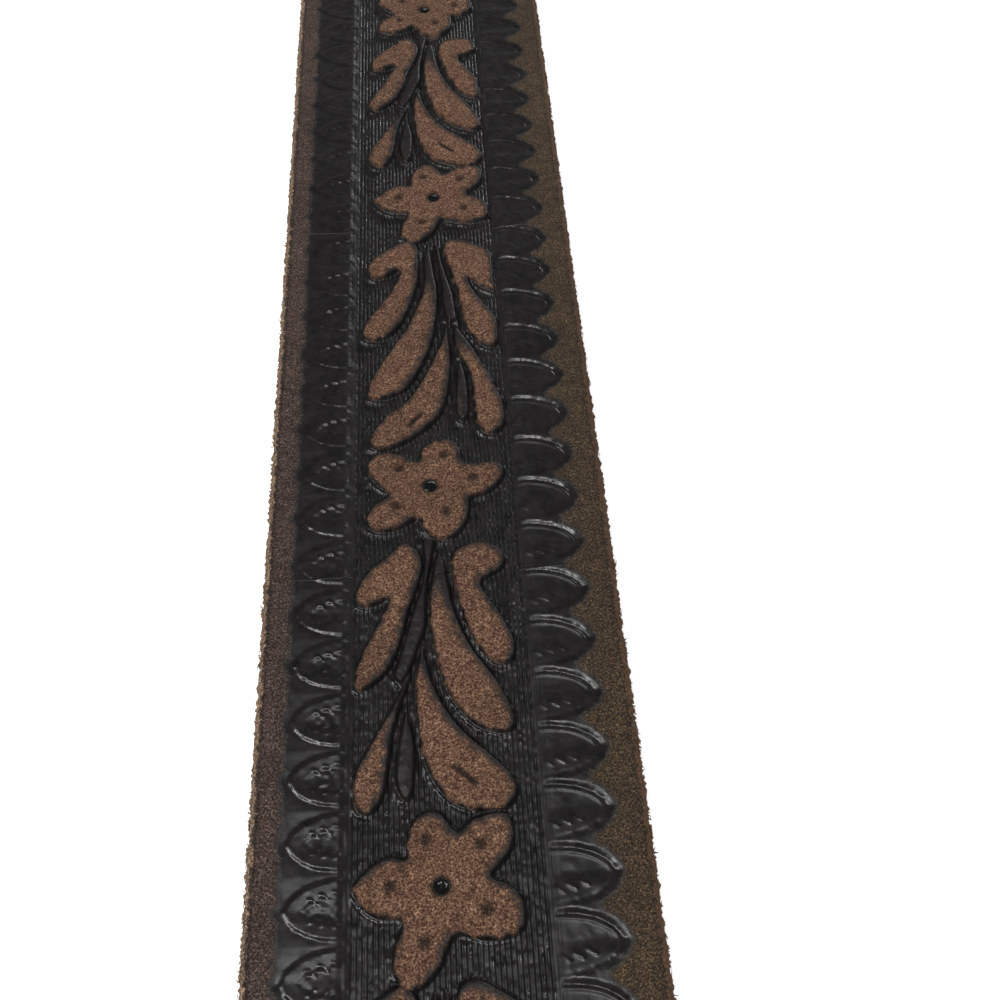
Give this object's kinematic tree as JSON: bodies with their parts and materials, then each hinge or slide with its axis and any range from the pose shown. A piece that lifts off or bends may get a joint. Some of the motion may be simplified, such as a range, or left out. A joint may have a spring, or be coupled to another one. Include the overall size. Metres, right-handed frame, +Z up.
{
  "type": "western tooled leather belt",
  "caption": "Flat leather belt with tooled flowers, leaf sprays and side arches, a pointed punched tip, a plain frame buckle and a leather keeper.",
  "frame": {"origin": "middle of the belt's outline on the surface that it lies on", "axes": "+Y along the belt from the buckle to the tip, +Z up through the tooled side, +X across to the right"},
  "size_m": [0.05, 0.9348, 0.0134],
  "materials": {
    "strap_leather": "satin",
    "keeper_leather": "satin",
    "buckle_metal": "satin",
    "post_metal": "satin"
  },
  "bodies": {
    "root": {"strap": "strap_leather", "keeper": "keeper_leather", "buckle": "buckle_metal", "front_post": "post_metal", "rear_post": "post_metal"}
  },
  "joints": []
}
